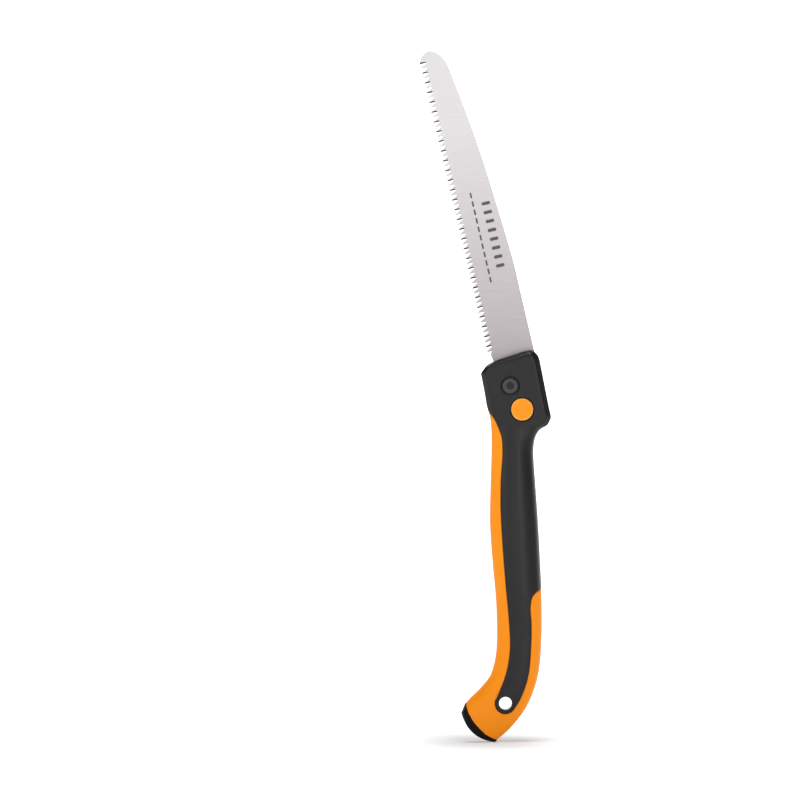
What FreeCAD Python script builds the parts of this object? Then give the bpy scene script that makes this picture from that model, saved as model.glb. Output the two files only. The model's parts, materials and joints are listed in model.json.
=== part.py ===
import FreeCAD, Part

import math
import os

# Folding pruning saw, in millimetres, blade open.
# X runs across the handle towards the blade's spine side, Y is the thickness with the front at -Y,
# and Z runs up along the handle. The origin is the middle of the hang hole near the butt.

Vector = FreeCAD.Vector
ALONG_Y = FreeCAD.Rotation(Vector(1, 0, 0), -90)

DIMENSIONS = {
    # pivot and lock positions, from the hang hole
    "pivot_x": 4.0,
    "pivot_z": 268.0,
    "lock_x": 14.1,
    "lock_z": 248.0,
    "hang_hole_radius": 5.5,
    "hang_lining_radius": 7.0,
    # handle
    "head_half": 11.0,
    "head_bevel": 4.0,
    "skin_thick": 2.2,
    "cap_proud": 0.5,
    # blade
    "blade_thick": 1.4,
    "blade_lean": 13.1,
    "blade_width": 39.5,
    "teeth_to_pivot": 12.9,
    "blade_reach": 291.4,
    "tooth_pitch": 4.235,
    "tooth_depth": 5.4,
    "tooth_count": 60,
    "first_tooth": 32.0,
    # how the blade folds
    "fold_degrees": 161.4,
    "slot_half": 1.6,
    "slot_clearance": 1.2,
    "track_radius": 17.3,
    "horn_radius": 24.0,
    "seat_radius": 5.1,
    # stack on the pivot
    "liner_gap_half": 1.25,
    "liner_thick": 1.5,
    "washer_thick": 0.5,
    "washer_radius": 12.0,
    "bushing_radius": 5.5,
    "running_gap": 0.05,
    "bolt_radius": 4.0,
    "bolt_head_radius": 7.0,
    "bolt_head_tall": 3.4,
    "bolt_recess_radius": 8.25,
    "bolt_seat": 7.4,
    "bolt_socket": 6.0,
    "nut_across_flats": 12.0,
    "nut_tall": 2.8,
    "disc_spring_thick": 0.6,
    # lock
    "button_radius": 9.25,
    "button_recess_radius": 10.2,
    "button_front": 12.0,
    "button_tall": 3.4,
    "button_floor": 5.0,
    "pin_radius": 2.5,
    "collar_radius": 5.0,
    "collar_front": 1.0,
    "collar_back": 1.6,
    "pin_end": 5.4,
    "clip_thick": 0.6,
    "spring_wire": 0.8,
    "spring_radius": 3.9,
    "spring_turns": 4.5,
    "cover_radius": 7.5,
    "cover_inner": 9.3,
    "cover_outer": 10.8,
    # screws
    "screw_radius": 1.5,
    "screw_head_radius": 2.8,
    "screw_seat": 6.5,
    "screw_head_tall": 2.0,
    "screw_length": 12.0,
}

# Left (belly) and right (back) points of each cross-section of the grip, with its half thickness.
GRIP_SECTIONS = [
    ((-16.3, 258.0), (24.0, 258.0), 9.8),
    ((-13.0, 240.9), (23.9, 240.0), 10.4),
    ((-11.3, 225.8), (23.8, 224.0), 11.2),
    ((-11.3, 207.5), (23.9, 206.0), 12.2),
    ((-12.9, 178.0), (26.0, 177.0), 13.4),
    ((-13.1, 149.6), (27.9, 149.0), 14.0),
    ((-10.9, 118.0), (29.5, 118.0), 14.2),
    ((-7.9, 84.5), (30.7, 85.0), 14.0),
    ((-6.6, 52.2), (30.6, 54.0), 13.8),
    ((-8.6, 35.0), (28.6, 29.0), 13.7),
    ((-13.0, 23.2), (24.6, 12.0), 13.6),
    ((-21.0, 13.0), (17.0, -5.0), 13.6),
    ((-29.0, 5.2), (4.5, -21.1), 13.5),
    ((-33.6, 0.1), (-7.2, -31.2), 13.3),
    ((-39.0, -6.2), (-15.0, -37.8), 13.0),
]
SECTION_POWER = 2.7  # 2 would be an ellipse; more is squarer
SECTION_POINTS = 28

HEAD_TOP_LEFT = (-15.8, 285.1)
HEAD_TOP_RIGHT = (17.7, 297.7)
SCREW_PLACES = [(18.3, 205.0), (17.0, 122.0), (13.0, 40.0)]
LINER_OUTLINE = [(-8, 259), (-8, 277), (-3, 281), (10, 281), (16, 275)]
LINER_OUTLINE += [(22, 255), (22, 243), (18, 239), (7, 239)]

doc = FreeCAD.newDocument("FoldingPruningSaw")


def make_sheet():
    """The spreadsheet that holds the driving dimensions."""
    sheet = doc.addObject("Spreadsheet::Sheet", "Dims")
    for row, (alias, value) in enumerate(DIMENSIONS.items(), start=1):
        sheet.set(f"A{row}", alias)
        sheet.set(f"B{row}", str(value))
        sheet.setAlias(f"B{row}", alias)
    doc.recompute()
    return sheet


sheet = make_sheet()


def size(alias):
    """A driving dimension, read from the sheet."""
    return float(sheet.get(alias))


PIVOT = Vector(size("pivot_x"), 0, size("pivot_z"))
LOCK = Vector(size("lock_x"), 0, size("lock_z"))


def bind(thing, **expressions):
    """Binds properties of an object to expressions on the sheet; a double underscore stands for a dot."""
    for name, expression in expressions.items():
        thing.setExpression(name.replace("__", "."), expression)
    return thing


def at(x, z, y=0.0):
    return Vector(x, y, z)


def turned(point, degrees, centre):
    """A point of the XZ plane turned about a centre, positive from +X towards +Z."""
    a = math.radians(degrees)
    dx, dz = point.x - centre.x, point.z - centre.z
    return at(centre.x + dx * math.cos(a) - dz * math.sin(a), centre.z + dx * math.sin(a) + dz * math.cos(a))


def rod(name, radius, start, length, place):
    """A round bar along +Y. place is pivot or lock; the other sizes are expressions."""
    bar = doc.addObject("Part::Cylinder", name)
    bar.Placement = FreeCAD.Placement(Vector(), ALONG_Y)
    bind(bar, Radius=radius, Height=length, Placement__Base__y=start)
    bind(bar, Placement__Base__x=f"Dims.{place}_x", Placement__Base__z=f"Dims.{place}_z")
    return bar


def hex_bar(name, across_flats, start, length, place):
    """A six-sided bar along +Y."""
    bar = doc.addObject("Part::Prism", name)
    bar.Polygon = 6
    bar.Placement = FreeCAD.Placement(Vector(), ALONG_Y)
    bind(bar, Circumradius=f"{across_flats} / 2 / cos(30)", Height=length, Placement__Base__y=start)
    bind(bar, Placement__Base__x=f"Dims.{place}_x", Placement__Base__z=f"Dims.{place}_z")
    return bar


def fuse(name, *pieces):
    joined = doc.addObject("Part::MultiFuse", name)
    joined.Shapes = list(pieces)
    joined.Refine = True
    return joined


def cut(name, base, *tools):
    """base less the tools."""
    tool = tools[0] if len(tools) == 1 else fuse(name + "_tools", *tools)
    result = doc.addObject("Part::Cut", name)
    result.Base = base
    result.Tool = tool
    return result


def feature(name, shape):
    """A shape made with Part's own functions."""
    thing = doc.addObject("Part::Feature", name)
    place = shape.Placement
    thing.Shape = shape
    thing.Placement = place
    return thing


def edges_at(thing, y):
    """Numbers of the edges that lie wholly on the plane at y."""
    doc.recompute()
    boxes = [edge.BoundBox for edge in thing.Shape.Edges]
    return [n for n, box in enumerate(boxes, start=1) if abs(box.YMin - y) + abs(box.YMax - y) < 1e-4]


def rounded(name, thing, y, radius):
    """A fillet on the edges at y."""
    result = doc.addObject("Part::Fillet", name)
    result.Base = thing
    result.Edges = [(n, radius, radius) for n in edges_at(thing, y)]
    return result


def line(a, b):
    return Part.LineSegment(a, b).toShape()


def arc(a, middle, b):
    return Part.Arc(a, middle, b).toShape()


def curve(points):
    """A smooth curve through the points."""
    spline = Part.BSplineCurve()
    spline.interpolate(points)
    return spline.toShape()


def slab(wire, y_low, y_high):
    """A closed outline in the XZ plane, given thickness from y_low to y_high."""
    face = Part.Face(wire)
    face.translate(Vector(0, y_low, 0))
    return face.extrude(Vector(0, y_high - y_low, 0))


def round_slab(centre, radius, y_low, y_high):
    return Part.makeCylinder(radius, y_high - y_low, at(centre.x, centre.z, y_low), Vector(0, 1, 0))


# ---- handle: outer form ----


def section_wire(left, right, half, inset):
    """A closed superellipse between two points of the XZ plane, bulging along Y."""
    a, b = at(*left), at(*right)
    across = (b - a).normalize()
    a, b = a + across * inset, b - across * inset
    middle, half_width = (a + b) * 0.5, (b - a).Length / 2
    points = []
    for n in range(SECTION_POINTS):
        angle = 2 * math.pi * (n + 0.5) / SECTION_POINTS
        c, s = math.cos(angle), math.sin(angle)
        along = math.copysign(abs(c) ** (2 / SECTION_POWER), c) * half_width
        out = math.copysign(abs(s) ** (2 / SECTION_POWER), s) * (half - inset)
        points.append(middle + across * along + Vector(0, out, 0))
    spline = Part.BSplineCurve()
    spline.interpolate(points, PeriodicFlag=True)
    return Part.Wire(spline.toShape())


def grip_loft(inset):
    wires = [section_wire(left, right, half, inset) for left, right, half in GRIP_SECTIONS]
    return Part.makeLoft(wires, True, False)


def head_wire(inset):
    """The head's outline, moved inwards by inset."""
    corners = [
        at(-20.6, 278.8),
        at(*HEAD_TOP_LEFT),
        at(-9.0, 289.0),
        at(*HEAD_TOP_RIGHT),
        at(23.9, 298.1),
        at(28.6, 291.6),
        at(38.6, 241.6),
        at(35.7, 234.9),
        at(29.7, 231.1),
        at(25.6, 225.6),
        at(23.8, 216.0),
        at(8.0, 212.0),
        at(-2.6, 224.0),
        at(-9.0, 238.1),
        at(-13.4, 244.4),
    ]
    wire = Part.makePolygon(corners + corners[:1])
    if not inset:
        return wire
    return wire.makeOffset2D(-inset, 2)


def head_block(inset):
    """The flat head with a bevelled rim, from the front face to the back one."""
    half, bevel = size("head_half") - inset, size("head_bevel")
    rim, face = head_wire(inset), head_wire(inset + bevel)
    middle = slab(rim, bevel - half, half - bevel)
    caps = []
    for side in (-1, 1):
        low, high = rim.copy(), face.copy()
        low.translate(Vector(0, side * (half - bevel), 0))
        high.translate(Vector(0, side * half, 0))
        caps.append(Part.makeLoft([low, high], True, True))
    return middle.multiFuse(caps).removeSplitter()


def butt_face_wire(cap):
    """The space on the handle's side of the butt: up to the orange end, or up to the cap's outside."""
    if cap:
        points = [at(-37.2, -8.0), at(-29.5, -22.6), at(-13.0, -33.0)]
        start, end = at(-33.3, 0.9), at(-6.5, -31.6)
    else:
        points = [at(-32.6, -4.6), at(-25.6, -19.8), at(-12.0, -30.8)]
        start, end = at(-33.4, 0.4), at(-6.5, -31.8)
    far = [at(60, -31.6), at(60, 320), at(-60, 320), at(-60, 12)]
    edge = [line(start, points[0]), arc(*points), line(points[2], end)]
    round_the_back = [end] + far + [start]
    rest = [line(a, b) for a, b in zip(round_the_back, round_the_back[1:])]
    return Part.Wire(edge + rest)


def black_outline():
    """Outline of the black overmould seen from the front."""
    left = [(-9.1, 2.0), (-4.9, 10.9), (1.2, 27.8), (3.9, 46.0), (2.9, 70.1), (0.2, 98.0), (-2.6, 133.0)]
    left += [(-4.2, 165.0), (-3.8, 188.4), (-2.0, 212.0), (-3.1, 225.5), (-9.0, 238.1), (-14.5, 246.0)]
    right = [(36.0, 99.0), (29.9, 95.8), (23.6, 90.2), (21.6, 82.0), (22.4, 66.0), (21.9, 45.0), (19.6, 22.5)]
    right += [(13.2, 3.8), (7.4, -5.6)]
    left_edge = curve([at(*p) for p in left])
    right_edge = curve([at(*p) for p in right])
    end = arc(at(*right[-1]), at(0.0, -9.3), at(*left[0]))
    above = [at(-40, 246.0), at(-40, 320), at(60, 320), at(60, 99.0)]
    sides = [line(at(*left[-1]), above[0]), line(above[0], above[1]), line(above[1], above[2])]
    sides += [line(above[2], above[3]), line(above[3], at(*right[0]))]
    return Part.Wire([left_edge] + sides + [right_edge, end])


# ---- the space that the blade needs ----


def floor_x(z, clearance):
    """X of the slot's floor at a height: the closed toothed edge, moved out by the clearance."""
    closed = size("fold_degrees") + size("blade_lean") - 180
    edge = turned(PIVOT + Vector(-size("teeth_to_pivot") - clearance, 0, 0), 180 + closed, PIVOT)
    return edge.x - (z - edge.z) * math.tan(math.radians(closed))


def blade_space(half):
    """Everything that the blade passes through, half thick on each side."""
    clearance, lean = size("slot_clearance"), size("blade_lean")
    tang = round_slab(PIVOT, size("horn_radius") + 0.6, -half, half)
    collar = round_slab(LOCK, size("collar_radius") + 0.5, -half, half)
    spine = size("blade_width") - size("teeth_to_pivot") + 0.7
    corners = [(-45, 0), (-45, 60), (spine, 60), (spine, 21.2), (23.3, 7.6), (0, 0)]
    open_points = [turned(at(PIVOT.x + v, PIVOT.z + u), lean, PIVOT) for v, u in corners]
    open_space = slab(Part.makePolygon(open_points + open_points[:1]), -half, half)
    top, low = PIVOT.z, -60.0
    top_corner, low_corner = at(floor_x(top, clearance), top), at(floor_x(low, clearance), low)
    closed_points = [top_corner, at(-80, top), at(-80, low), low_corner]
    closed_space = slab(Part.makePolygon(closed_points + closed_points[:1]), -half, half)
    return tang.multiFuse([collar, open_space, closed_space]).common(
        round_slab(PIVOT, size("blade_reach") + 0.8, -half, half)
    )


# ---- blade ----


def blade_curves():
    """The blade's outline in its own frame: pivot at the origin, +y along the blade, +x to the spine."""
    seat, track, horn = size("seat_radius"), size("track_radius"), size("horn_radius")
    lean, fold = size("blade_lean"), size("fold_degrees")
    open_way = math.degrees(math.atan2(LOCK.z - PIVOT.z, LOCK.x - PIVOT.x)) - lean
    closed_way = open_way - fold

    def polar(radius, degrees, centre=Vector()):
        a = math.radians(degrees)
        return centre + Vector(radius * math.cos(a), radius * math.sin(a), 0)

    reach = track + seat
    open_seat, closed_seat = polar(reach, open_way), polar(reach, closed_way)
    horn_turn = math.degrees(math.acos((horn**2 - reach**2 - seat**2) / (2 * reach * seat)))
    horn_foot = polar(seat, open_way + horn_turn, open_seat)
    horn_way = math.degrees(math.atan2(horn_foot.y, horn_foot.x))
    edge = -size("teeth_to_pivot")
    spine = size("blade_width") + edge
    shoulder = Vector(22.5, 8.0, 0)
    shoulder_way = math.degrees(math.atan2(shoulder.y, shoulder.x))
    shoulder = polar(horn, shoulder_way)
    notch_end = polar(seat, 54.0, closed_seat)
    track_start, track_end = polar(track, closed_way), polar(track, open_way)
    track_middle = polar(track, (closed_way + open_way) / 2)
    heel, ricasso, first = Vector(-9.1, 24.6, 0), Vector(-10.2, 29.6, 0), Vector(edge, size("first_tooth"), 0)
    tip = Vector(-10.9, 286.4, 0)
    last = Vector(edge, 282.6, 0)
    spine_points = [Vector(spine, 92.5, 0), Vector(24.1, 146, 0), Vector(19.6, 204, 0), Vector(15.2, 240, 0)]
    spine_points += [Vector(10.0, 276.0, 0)]
    nose_points = [spine_points[-1], Vector(7.1, 283.2, 0), Vector(3.6, 287.7, 0), Vector(-1.8, 290.9, 0)]
    nose_points += [Vector(-7.2, 289.8, 0), tip]
    return [
        Part.Arc(track_start, track_middle, track_end),
        Part.Arc(track_end, polar(seat, open_way + 129, open_seat), horn_foot),
        Part.Arc(horn_foot, polar(horn, (horn_way + shoulder_way) / 2), shoulder),
        Part.LineSegment(shoulder, Vector(spine, 22.0, 0)),
        Part.LineSegment(Vector(spine, 22.0, 0), spine_points[0]),
        smooth(spine_points),
        smooth(nose_points),
        Part.LineSegment(tip, last),
        Part.LineSegment(last, first),
        Part.LineSegment(first, ricasso),
        Part.LineSegment(ricasso, heel),
        Part.LineSegment(heel, notch_end),
        Part.Arc(notch_end, polar(seat, 0, closed_seat), track_start),
    ]


def smooth(points):
    spline = Part.BSplineCurve()
    spline.interpolate(points)
    return spline


def plane_of(body, role):
    return next(f for f in body.Origin.OriginFeatures if f.Role == role)


def sketch_on(body, name, role, geometry):
    """A sketch on one of the body's own origin planes."""
    sketch = body.newObject("Sketcher::SketchObject", name)
    sketch.AttachmentSupport = [(plane_of(body, role), "")]
    sketch.MapMode = "FlatFace"
    for piece in geometry:
        sketch.addGeometry(piece, False)
    return sketch


def polygon_lines(points):
    ends = points[1:] + points[:1]
    return [Part.LineSegment(a, b) for a, b in zip(points, ends)]


def circle(x, y, radius):
    return Part.Circle(Vector(x, y, 0), Vector(0, 0, 1), radius)


def make_blade():
    """A flat steel blade: outline, pivot hole, then the gullets between the teeth."""
    body = doc.addObject("PartDesign::Body", "blade")
    outline = sketch_on(body, "blade_outline", "XY_Plane", blade_curves())
    plate = body.newObject("PartDesign::Pad", "blade_plate")
    plate.Profile = outline
    bind(plate, Length="Dims.blade_thick")
    plate.Midplane = True
    doc.recompute()
    bore_radius = size("bushing_radius") + size("running_gap")
    bore = sketch_on(body, "blade_bore", "XY_Plane", [circle(0, 0, bore_radius)])
    hole = body.newObject("PartDesign::Pocket", "blade_pivot_hole")
    hole.Profile = bore
    hole.Type = "ThroughAll"
    hole.Midplane = True
    doc.recompute()
    edge, pitch, depth = -size("teeth_to_pivot"), size("tooth_pitch"), size("tooth_depth")
    start = size("first_tooth")
    gullet_points = [
        Vector(edge - 1, start + 0.1, 0),
        Vector(edge, start + 0.1, 0),
        Vector(edge + 0.85 * depth, start + 2.0, 0),
        Vector(edge + depth, start + 2.7, 0),
        Vector(edge + depth, start + 3.4, 0),
        Vector(edge, start + pitch, 0),
        Vector(edge - 1, start + pitch, 0),
    ]
    gullet = sketch_on(body, "gullet_outline", "XY_Plane", polygon_lines(gullet_points))
    notch = body.newObject("PartDesign::Pocket", "gullet")
    notch.Profile = gullet
    notch.Type = "ThroughAll"
    notch.Midplane = True
    doc.recompute()
    teeth = body.newObject("PartDesign::LinearPattern", "teeth")
    teeth.Originals = [notch]
    teeth.Direction = (plane_of(body, "Y_Axis"), [""])
    bind(teeth, Length="Dims.tooth_pitch * (Dims.tooth_count - 2)", Occurrences="Dims.tooth_count - 1")
    body.Tip = teeth
    body.Placement = FreeCAD.Placement(PIVOT, FreeCAD.Rotation(Vector(1, 0, 0), 90))
    lean = FreeCAD.Rotation(Vector(0, -1, 0), size("blade_lean"))
    body.Placement.Rotation = lean.multiply(FreeCAD.Rotation(Vector(1, 0, 0), 90))
    bind(body, Placement__Base__x="Dims.pivot_x", Placement__Base__z="Dims.pivot_z")
    return body


# ---- handle pieces ----


def make_handle():
    """The two shells, the two overmoulded skins and the butt cap."""
    skin, wide = size("skin_thick"), 60.0
    outer = grip_loft(0).fuse(head_block(0))
    core = grip_loft(skin).fuse(head_block(skin))
    butt = slab(butt_face_wire(False), -wide, wide)
    form = outer.common(butt)
    black = slab(black_outline(), -wide, wide)
    lining = round_slab(Vector(), size("hang_lining_radius"), -wide, wide)
    overmould = black.cut(core).fuse(lining)
    hang = feature("hang_hole", round_slab(Vector(), size("hang_hole_radius"), -wide, wide))
    space = feature("blade_space", blade_space(size("slot_half")))
    pockets = feature("liner_pockets", liner_pockets())
    shells, skins = [], []
    for side, low, high in (("front", -wide, 0.0), ("back", 0.0, wide)):
        half = form.common(Part.makeBox(200, high - low, 500, Vector(-100, low, -100)))
        over_form = feature(f"{side}_softgrip_form", half.common(overmould))
        shell_form = feature(f"{side}_shell_form", half.cut(overmould))
        holes = recesses(side)
        skins.append(cut(f"{side}_softgrip", over_form, hang, space, *holes["skin"]))
        shells.append(cut(f"{side}_shell", shell_form, space, pockets, *holes["shell"]))
    cap_form = grip_loft(-size("cap_proud")).common(slab(butt_face_wire(True), -wide, wide))
    cap = feature("butt_cap", cap_form.cut(butt).cut(space.Shape))
    return shells, skins, cap


def liner_pockets():
    """Room for the two liners, one on each side of the tang's gap."""
    gap = size("liner_gap_half")
    deep = gap + size("liner_thick")
    return liner_slab(-deep, -gap, 0.05).fuse(liner_slab(gap, deep, 0.05))


def liner_slab(y_low, y_high, grow):
    wire = Part.makePolygon([at(*p) for p in LINER_OUTLINE + LINER_OUTLINE[:1]])
    if grow:
        wire = wire.makeOffset2D(grow, 2)
    return slab(wire, y_low, y_high)


def recesses(side):
    """Round holes and seats through one half of the handle, for its skin and its shell."""
    far = 40.0
    sign = -1 if side == "front" else 1

    def hole(centre, radius, inner, outer):
        low, high = sorted((sign * inner, sign * outer))
        hole.count += 1
        return feature(f"{side}_recess_{hole.count}", round_slab(centre, radius, low, high))

    hole.count = 0
    bolt_seat = hole(PIVOT, size("bolt_recess_radius"), size("bolt_seat"), far)
    bolt_way = hole(PIVOT, size("bolt_radius") + size("running_gap"), 0, far)
    found = {"skin": [bolt_seat], "shell": [bolt_seat, bolt_way]}
    if side == "front":
        recess = hole(LOCK, size("button_recess_radius"), size("button_floor"), far)
        found["skin"].append(recess)
        found["shell"] += [recess, hole(LOCK, size("collar_radius"), 0, far)]
        for x, z in SCREW_PLACES:
            depth = size("screw_length") - size("screw_seat") + 0.5
            found["shell"].append(hole(at(x, z), size("screw_radius") + 0.02, 0, depth))
        return found
    cover = hole(LOCK, size("cover_radius") + 0.05, size("cover_inner"), far)
    spring_way = hole(LOCK, size("collar_radius") + 0.3, 0, far)
    found["skin"] += [cover, spring_way]
    found["shell"] += [cover, spring_way]
    for x, z in SCREW_PLACES:
        seat = hole(at(x, z), size("screw_head_radius") + 0.3, size("screw_seat"), far)
        found["skin"].append(seat)
        found["shell"] += [seat, hole(at(x, z), size("screw_radius") + 0.1, 0, far)]
    return found


def make_liner(side):
    """A steel plate beside the tang, with the pivot hole and the lock pin's hole."""
    name = f"{side}_liner"
    body = doc.addObject("PartDesign::Body", name)
    outline = polygon_lines([Vector(x, z, 0) for x, z in LINER_OUTLINE])
    pin_hole = size("pin_radius") + size("running_gap") if side == "front" else size("collar_radius") + 0.15
    outline.append(circle(PIVOT.x, PIVOT.z, size("bolt_radius") + size("running_gap")))
    outline.append(circle(LOCK.x, LOCK.z, pin_hole))
    sketch = sketch_on(body, f"{name}_outline", "XZ_Plane", outline)
    plate = body.newObject("PartDesign::Pad", f"{name}_plate")
    plate.Profile = sketch
    bind(plate, Length="Dims.liner_thick")
    body.Tip = plate
    offset = "-Dims.liner_gap_half" if side == "front" else "Dims.liner_gap_half + Dims.liner_thick"
    bind(body, Placement__Base__y=offset)
    return body


def ring(name, outer, inner, start, length, place):
    """A washer or sleeve along +Y."""
    outside = rod(f"{name}_outside", outer, start, length, place)
    inside = rod(f"{name}_bore", inner, f"{start} - 1", f"{length} + 2", place)
    return cut(name, outside, inside)


def make_pivot():
    """Bolt, bushing, washers, disc spring and nut, from the front to the back."""
    head_front = "-Dims.bolt_seat - Dims.bolt_head_tall"
    head = rod("bolt_head", "Dims.bolt_head_radius", head_front, "Dims.bolt_head_tall", "pivot")
    domed = rounded("bolt_head_domed", head, -size("bolt_seat") - size("bolt_head_tall"), 1.4)
    shank = rod("bolt_shank", "Dims.bolt_radius", "-Dims.bolt_seat", "2 * Dims.bolt_seat + 3.0", "pivot")
    socket = hex_bar("bolt_socket", "Dims.bolt_socket", f"{head_front} - 1", "3.8", "pivot")
    bolt = cut("pivot_bolt", fuse("bolt_blank", domed, shank), socket)
    gap = "Dims.running_gap"
    bore = f"Dims.bolt_radius + {gap}"
    front_start = "-Dims.liner_gap_half"
    gap_wide = "2 * Dims.liner_gap_half"
    bushing = ring("pivot_bushing", "Dims.bushing_radius", bore, front_start, gap_wide, "pivot")
    washer_bore = f"Dims.bushing_radius + {gap}"
    back_start = "Dims.liner_gap_half - Dims.washer_thick"
    front = ring("front_washer", "Dims.washer_radius", washer_bore, front_start, "Dims.washer_thick", "pivot")
    back = ring("back_washer", "Dims.washer_radius", washer_bore, back_start, "Dims.washer_thick", "pivot")
    thick = "Dims.disc_spring_thick"
    spring = ring("disc_spring", "Dims.bolt_head_radius", bore, "Dims.bolt_seat", thick, "pivot")
    nut_start = "Dims.bolt_seat + Dims.disc_spring_thick"
    nut_outside = hex_bar("nut_outside", "Dims.nut_across_flats", nut_start, "Dims.nut_tall", "pivot")
    nut_bore = rod("nut_bore", bore, f"{nut_start} - 1", "Dims.nut_tall + 2", "pivot")
    nut = cut("pivot_nut", nut_outside, nut_bore)
    return [bolt, bushing, front, back, spring, nut]


def make_lock():
    """Button, pin, clip, spring and cover."""
    front = "-Dims.button_front"
    disc = rod("button_disc", "Dims.button_radius", front, "Dims.button_tall", "lock")
    crowned = rounded("button_crowned", disc, -size("button_front"), 1.2)
    pin_top = "Dims.button_front - 1.5"
    gap = "Dims.running_gap"
    bore = rod("button_bore", f"Dims.pin_radius + {gap}", f"-({pin_top})", "Dims.button_tall", "lock")
    button = cut("lock_button", crowned, bore)
    stem = rod("pin_stem", "Dims.pin_radius", f"-({pin_top})", f"{pin_top} + Dims.pin_end", "lock")
    collar_tall = "Dims.collar_front + Dims.collar_back"
    collar = rod("pin_collar", "Dims.collar_radius", "-Dims.collar_front", collar_tall, "lock")
    pin = fuse("lock_pin", stem, collar)
    clip_start = "-Dims.button_front + Dims.button_tall + 0.05"
    clip_bore = f"Dims.pin_radius + {gap}"
    clip = ring("button_clip", "Dims.collar_radius - 0.6", clip_bore, clip_start, "Dims.clip_thick", "lock")
    cover_tall = "Dims.cover_outer - Dims.cover_inner"
    cover = rod("lock_cover", "Dims.cover_radius", "Dims.cover_inner", cover_tall, "lock")
    return [button, pin, clip, cover, make_lock_spring()]


def make_lock_spring():
    """A coil spring between the pin's collar and the cover."""
    wire = size("spring_wire")
    start, end = size("collar_back") + wire, size("cover_inner") - wire
    helix = Part.makeHelix((end - start) / size("spring_turns"), end - start, size("spring_radius"))
    profile = Part.Wire(Part.makeCircle(wire / 2, Vector(size("spring_radius"), 0, 0), Vector(0, 1, 0)))
    coil = Part.Wire(helix).makePipeShell([profile], True, True)
    coil.Placement = FreeCAD.Placement(at(LOCK.x, LOCK.z, start), ALONG_Y)
    return feature("lock_spring", Part.Solid(coil) if coil.ShapeType == "Shell" else coil)


def make_screws():
    """Three pan-head screws that join the shells, put in from the back."""
    seat, radius = size("screw_seat"), size("screw_radius")
    screws = []
    for n, (x, z) in enumerate(SCREW_PLACES, start=1):
        head = round_slab(at(x, z), size("screw_head_radius"), seat, seat + size("screw_head_tall"))
        shank = round_slab(at(x, z), radius, seat - size("screw_length"), seat)
        socket = Part.makeBox(3.6, 1.0, 0.8, at(x - 1.8, z - 0.4, seat + size("screw_head_tall") - 1.0))
        cross = Part.makeBox(0.8, 1.0, 3.6, at(x - 0.4, z - 1.8, seat + size("screw_head_tall") - 1.0))
        screws.append(feature(f"screw_{n}", head.fuse(shank).cut(socket.fuse(cross))))
    group = doc.addObject("Part::Compound", "handle_screws")
    group.Links = screws
    return group


def check(parts):
    """Stops if any object failed or any sub-part isn't a sound solid."""
    for thing in doc.Objects:
        bad = [state for state in thing.State if state in ("Invalid", "Error")]
        if bad:
            raise SystemExit(f"{thing.Name} failed: {bad}")
    for part in parts:
        shape = part.Shape
        if shape.isNull() or not shape.isValid() or not shape.Solids or shape.Volume <= 0:
            raise SystemExit(f"{part.Label} isn't a valid solid")
        print(f"{part.Label}: {len(shape.Solids)} solid(s), {shape.Volume:.0f} mm3")


def main():
    shells, skins, cap = make_handle()
    parts = shells + skins + [cap]
    parts += [make_liner("front"), make_liner("back")]
    parts += make_pivot() + make_lock()
    parts += [make_screws(), make_blade()]
    doc.recompute()
    for part in parts:
        part.Label = part.Name
    check(parts)
    os.makedirs("parts", exist_ok=True)
    for part in parts:
        part.Shape.exportStep(f"parts/{part.Label}.step")


main()
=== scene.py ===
import json
import math

import bmesh
import bpy
import numpy as np
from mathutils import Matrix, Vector


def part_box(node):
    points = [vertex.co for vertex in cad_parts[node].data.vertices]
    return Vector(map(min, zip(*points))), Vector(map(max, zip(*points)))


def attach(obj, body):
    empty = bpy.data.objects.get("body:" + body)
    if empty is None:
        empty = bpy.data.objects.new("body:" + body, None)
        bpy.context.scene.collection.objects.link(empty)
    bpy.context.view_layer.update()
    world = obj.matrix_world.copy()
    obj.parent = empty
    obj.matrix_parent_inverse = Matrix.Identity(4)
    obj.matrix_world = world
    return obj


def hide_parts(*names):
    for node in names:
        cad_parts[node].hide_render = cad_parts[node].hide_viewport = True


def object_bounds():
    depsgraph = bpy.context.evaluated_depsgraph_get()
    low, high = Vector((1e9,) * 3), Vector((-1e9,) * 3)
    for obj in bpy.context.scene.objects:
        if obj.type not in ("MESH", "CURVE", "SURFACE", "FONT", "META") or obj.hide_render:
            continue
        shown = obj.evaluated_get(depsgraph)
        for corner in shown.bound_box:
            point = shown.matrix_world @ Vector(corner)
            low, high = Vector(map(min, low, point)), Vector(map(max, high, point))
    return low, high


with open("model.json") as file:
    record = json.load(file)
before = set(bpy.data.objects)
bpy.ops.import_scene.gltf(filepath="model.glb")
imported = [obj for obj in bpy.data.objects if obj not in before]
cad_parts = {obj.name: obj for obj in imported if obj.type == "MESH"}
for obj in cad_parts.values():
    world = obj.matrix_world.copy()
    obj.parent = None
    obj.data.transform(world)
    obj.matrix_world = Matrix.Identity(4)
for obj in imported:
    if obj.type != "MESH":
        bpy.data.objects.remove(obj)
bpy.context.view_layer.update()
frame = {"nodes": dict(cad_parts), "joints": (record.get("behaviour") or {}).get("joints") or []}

# Lengths in this script are millimetres in the row's frame; meshes are made in metres by MM.
MM = 0.001
nodes = frame["nodes"]
joints = {j["name"]: j for j in frame["joints"]}
PIVOT = Vector(joints["blade_fold"]["pos_m"]) / MM
FOLD = joints["blade_fold"]["range_deg"][1]


def middle_of(node):
    low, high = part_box(node)
    return (low + high) / 2 / MM


LOCK = middle_of("lock_pin")
LEAN = 13.1  # degrees, how far the open blade leans from the vertical
TEETH_TO_PIVOT = 12.9
BLADE_WIDTH = 39.5
BLADE_REACH = 291.4
HANG_RADIUS = 5.5
SLOT_HALF = 1.6
ROUND_STEPS = 96  # sides of every round piece
FAR = 30.0  # past the handle's surface, for tools that cut through it

# ---------------------------------------------------------------- small tools


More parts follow.
